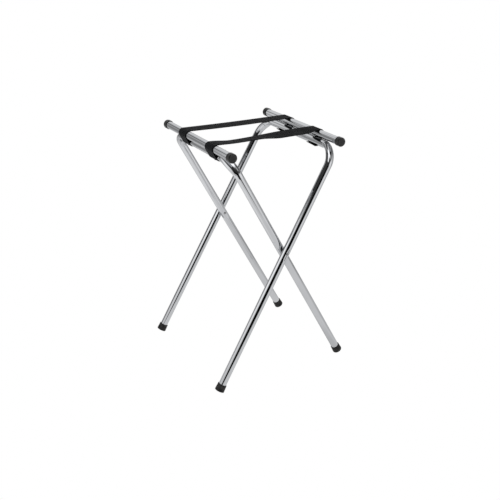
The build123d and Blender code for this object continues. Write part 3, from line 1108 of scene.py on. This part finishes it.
# Parts of the studio above the floor, laid over each other in the same way: bearing from and to,
# height from and to, and their soft edges, all in degrees, and brightness
STUDIO_ZONES = (
    ("right side", 60, 125, -14, 22, 4, 4, 0.7),
    ("right gap", 86, 116, 2, 36, 4, 4, 0.25),
    ("front lamp", 12, 54, -20, 22, 3, 3, 1.2),
    ("ceiling over the front", -25, 97, 27, 56, 4, 4, 0.1),
    ("overhead lamp", -75, 65, 60, 99, 5, 3, 1.9),
    ("back light", 120, 178, 10, 60, 10, 10, 1.1),
    ("dim back at the left", -190, -132, -36, 28, 5, 5, 0.42),
    ("left opening", -140, -48, -8, 75, 3, 3, 0.06),
    ("overhead lamp's left end", -72, -27, 45, 70, 3, 3, 1.6),
    ("front opening", -52, 3, -9, 24, 2, 2, 0.0),
    ("front opening, higher up", -52, 11, 18, 42, 3, 3, 0.04),
    ("right end of the ceiling", 25, 60, 40, 56, 4, 3, 0.6),
    ("back ceiling", -190, -140, 38, 85, 4, 3, 0.12),
    ("back ceiling at the right", 145, 190, 42, 85, 4, 3, 0.12),
    ("skirting at the back left", -180, -136, -9, -2, 3, 2, 0.25),
    ("beam at the back left", -168, -155, 20, 26, 3, 1.5, 0.2),
    ("pale band under the beam", -157, -146, 11, 17, 2, 1.5, 0.7),
    ("pale post at the back left", -149, -145, -9, 12, 1, 1.5, 0.95),
    ("pale post, higher up", -152, -148, 12, 19, 1, 1.5, 0.95),
)

# The studio's plain walls under and over their zones: heights in degrees and brightness there
WALL_RISE = (-2, 12)
WALL_GLOW = (0.88, 1.05)


def only_glow(holder, source, output, strength_of):
    """Make a material or world only glow; strength_of adds the nodes of its strength."""
    holder.use_nodes = True
    tree = holder.node_tree
    tree.nodes.clear()
    glow = add_node(tree, source, {"Color": WHITE, "Strength": strength_of(tree)})
    add_node(tree, output, {"Surface": glow.outputs[0]})
    return holder


def stage_board(name, bm, strength_of):
    """A glowing board of the studio; the chrome shows it, the camera does not."""
    mesh = bpy.data.meshes.new(name)
    bm.to_mesh(mesh)
    bm.free()
    glow = bpy.data.materials.new(name + "_glow")
    mesh.materials.append(only_glow(glow, "Emission", "OutputMaterial", strength_of))
    board = bpy.data.objects.new(name, mesh)
    board.visible_camera = False
    bpy.context.scene.collection.objects.link(board)


def left_card(stage):
    """A white board at the left, brightest where its lamp is aimed."""
    bm = bmesh.new()
    upright = Matrix.Rotation(pi / 2, 4, "Y")
    sizes = Matrix.Diagonal((stage.card_height, stage.card_width, 1, 1))
    centre = Vector((-stage.card_distance, stage.card_along, stage.card_height / 2))
    place = Matrix.Translation(centre) @ upright @ sizes
    bmesh.ops.create_grid(bm, x_segments=1, y_segments=1, size=0.5, matrix=place)

    def strength(tree):
        point = parts_of(add_node(tree, "TexCoord").outputs["Object"])
        squares = [
            calc("POWER", calc("DIVIDE", calc("SUBTRACT", point[axis], aim), reach), 2.0)
            for axis, aim, reach in zip("YZ", CARD_AIM, CARD_POOL)
        ]
        off_aim = calc("SQRT", calc("ADD", *squares))
        pool = map_range(off_aim, CARD_CORE, 1.0, stage.card_glow, stage.card_edge_glow)
        fade = stage.card_fade
        half = stage.card_width / 2 - fade
        ends = window(point["Y"], stage.card_along - half, stage.card_along + half, fade)
        top = window(point["Z"], -fade, stage.card_height - fade, fade)
        return calc("MULTIPLY", pool, calc("MULTIPLY", ends, top))

    stage_board("left_card", bm, strength)


def window(value, start, end, soft):
    """1 between two limits, with soft edges."""
    rise = map_range(value, start - soft, start + soft)
    fall = map_range(value, end - soft, end + soft, 1.0, 0.0)
    return calc("MULTIPLY", rise, fall)


def bearing_of(way):
    """Bearing of a direction or place: 0 at the front, 90 degrees at the outer rail's side."""
    return calc("ARCTAN2", way["X"], calc("MULTIPLY", way["Y"], -1.0))


def zoned(base, azimuth, rise, zones, unit):
    """Light with zones laid over it in order; unit is that of a zone's second limits and soft edge."""
    for _, west, east, low, high, turn_soft, rise_soft, brightness in zones:
        sector = window(azimuth, radians(west), radians(east), radians(turn_soft))
        band = window(rise, low * unit, high * unit, rise_soft * unit)
        inside = calc("MULTIPLY", sector, band)
        base = map_range(inside, 0.0, 1.0, base, brightness)
    return base


def studio_floor(stage):
    """Pale floor, lit unevenly by the boards and lamps about it."""
    bm = bmesh.new()
    bmesh.ops.create_circle(bm, cap_ends=True, segments=64, radius=stage.floor_radius)

    def strength(tree):
        place = add_node(tree, "TexCoord").outputs["Object"]
        measured = add_node(tree, "VectorMath", {0: place}, operation="LENGTH")
        distance = measured.outputs["Value"]
        return zoned(stage.floor_glow, bearing_of(parts_of(place)), distance, FLOOR_ZONES, 1.0)

    stage_board("floor", bm, strength)


def studio_world():
    """White studio with lamps and dark openings for the chrome; the camera sees plain white."""
    world = bpy.data.worlds.new("studio")

    def strength(tree):
        way = parts_of(add_node(tree, "TexCoord").outputs["Generated"])
        elevation = calc("ARCSINE", way["Z"])
        walls = map_range(elevation, radians(WALL_RISE[0]), radians(WALL_RISE[1]), *WALL_GLOW)
        studio = zoned(walls, bearing_of(way), elevation, STUDIO_ZONES, radians(1))
        seen = add_node(tree, "LightPath").outputs["Is Camera Ray"]
        return map_range(seen, 0.0, 1.0, studio, 1.0)

    bpy.context.scene.world = only_glow(world, "Background", "OutputWorld", strength)


def camera(stage):
    """Camera at the photograph's viewing angle."""
    lens = bpy.data.cameras.new("camera")
    lens.lens = stage.lens
    lens.sensor_width = 36.0
    lens.shift_x = stage.shift_x
    lens.shift_y = stage.shift_y
    holder = bpy.data.objects.new("camera", lens)
    target = Matrix.Translation((0, 0, stage.target_height))
    level = Matrix.Rotation(stage.azimuth, 4, "Z") @ Matrix.Rotation(pi / 2 - stage.elevation, 4, "X")
    turn = level @ Matrix.Rotation(stage.roll, 4, "Z")
    holder.matrix_world = target @ turn @ Matrix.Translation((0, 0, stage.distance))
    bpy.context.scene.collection.objects.link(holder)
    bpy.context.scene.camera = holder


class TRAYSTAND_OT_stage(Operator):
    """Make the studio and the camera"""

    bl_idname = "tray_stand.stage"
    bl_label = "Stage"

    def execute(self, context):
        stage = context.scene.tray_stand.stage
        context.scene.view_settings.view_transform = "Standard"
        studio_world()
        studio_floor(stage)
        left_card(stage)
        camera(stage)
        return {"FINISHED"}


class TRAYSTAND_PT_panel(Panel):
    """Settings of the tray stand and the steps that make it"""

    bl_idname = "TRAYSTAND_PT_panel"
    bl_label = "Tray Stand"
    bl_space_type = "VIEW_3D"
    bl_region_type = "UI"
    bl_category = "Tray Stand"

    def draw(self, context):
        stand = context.scene.tray_stand
        for group in (stand.tube, stand.rubber, stand.strap, stand.fastener, stand.finish, stand.stage):
            box = self.layout.box()
            for name in group.__annotations__:
                box.prop(group, name)
        for step in STEPS:
            self.layout.operator(step.bl_idname)


STEPS = (
    TRAYSTAND_OT_tubes, TRAYSTAND_OT_rubber, TRAYSTAND_OT_fasteners, TRAYSTAND_OT_straps,
    TRAYSTAND_OT_stage,
)
GROUPS = (TubeSizes, RubberSizes, StrapSizes, FastenerSizes, Finishes, StageSettings, TrayStand)
CLASSES = (*GROUPS, *STEPS, TRAYSTAND_PT_panel)


def register():
    for item in CLASSES:
        bpy.utils.register_class(item)
    bpy.types.Scene.tray_stand = PointerProperty(type=TrayStand)


def unregister():
    del bpy.types.Scene.tray_stand
    for item in reversed(CLASSES):
        bpy.utils.unregister_class(item)


def main():
    register()
    bpy.ops.tray_stand.tubes()
    bpy.ops.tray_stand.rubber()
    bpy.ops.tray_stand.fasteners()
    bpy.ops.tray_stand.straps()
    bpy.ops.tray_stand.stage()


if __name__ == "__main__":
    main()
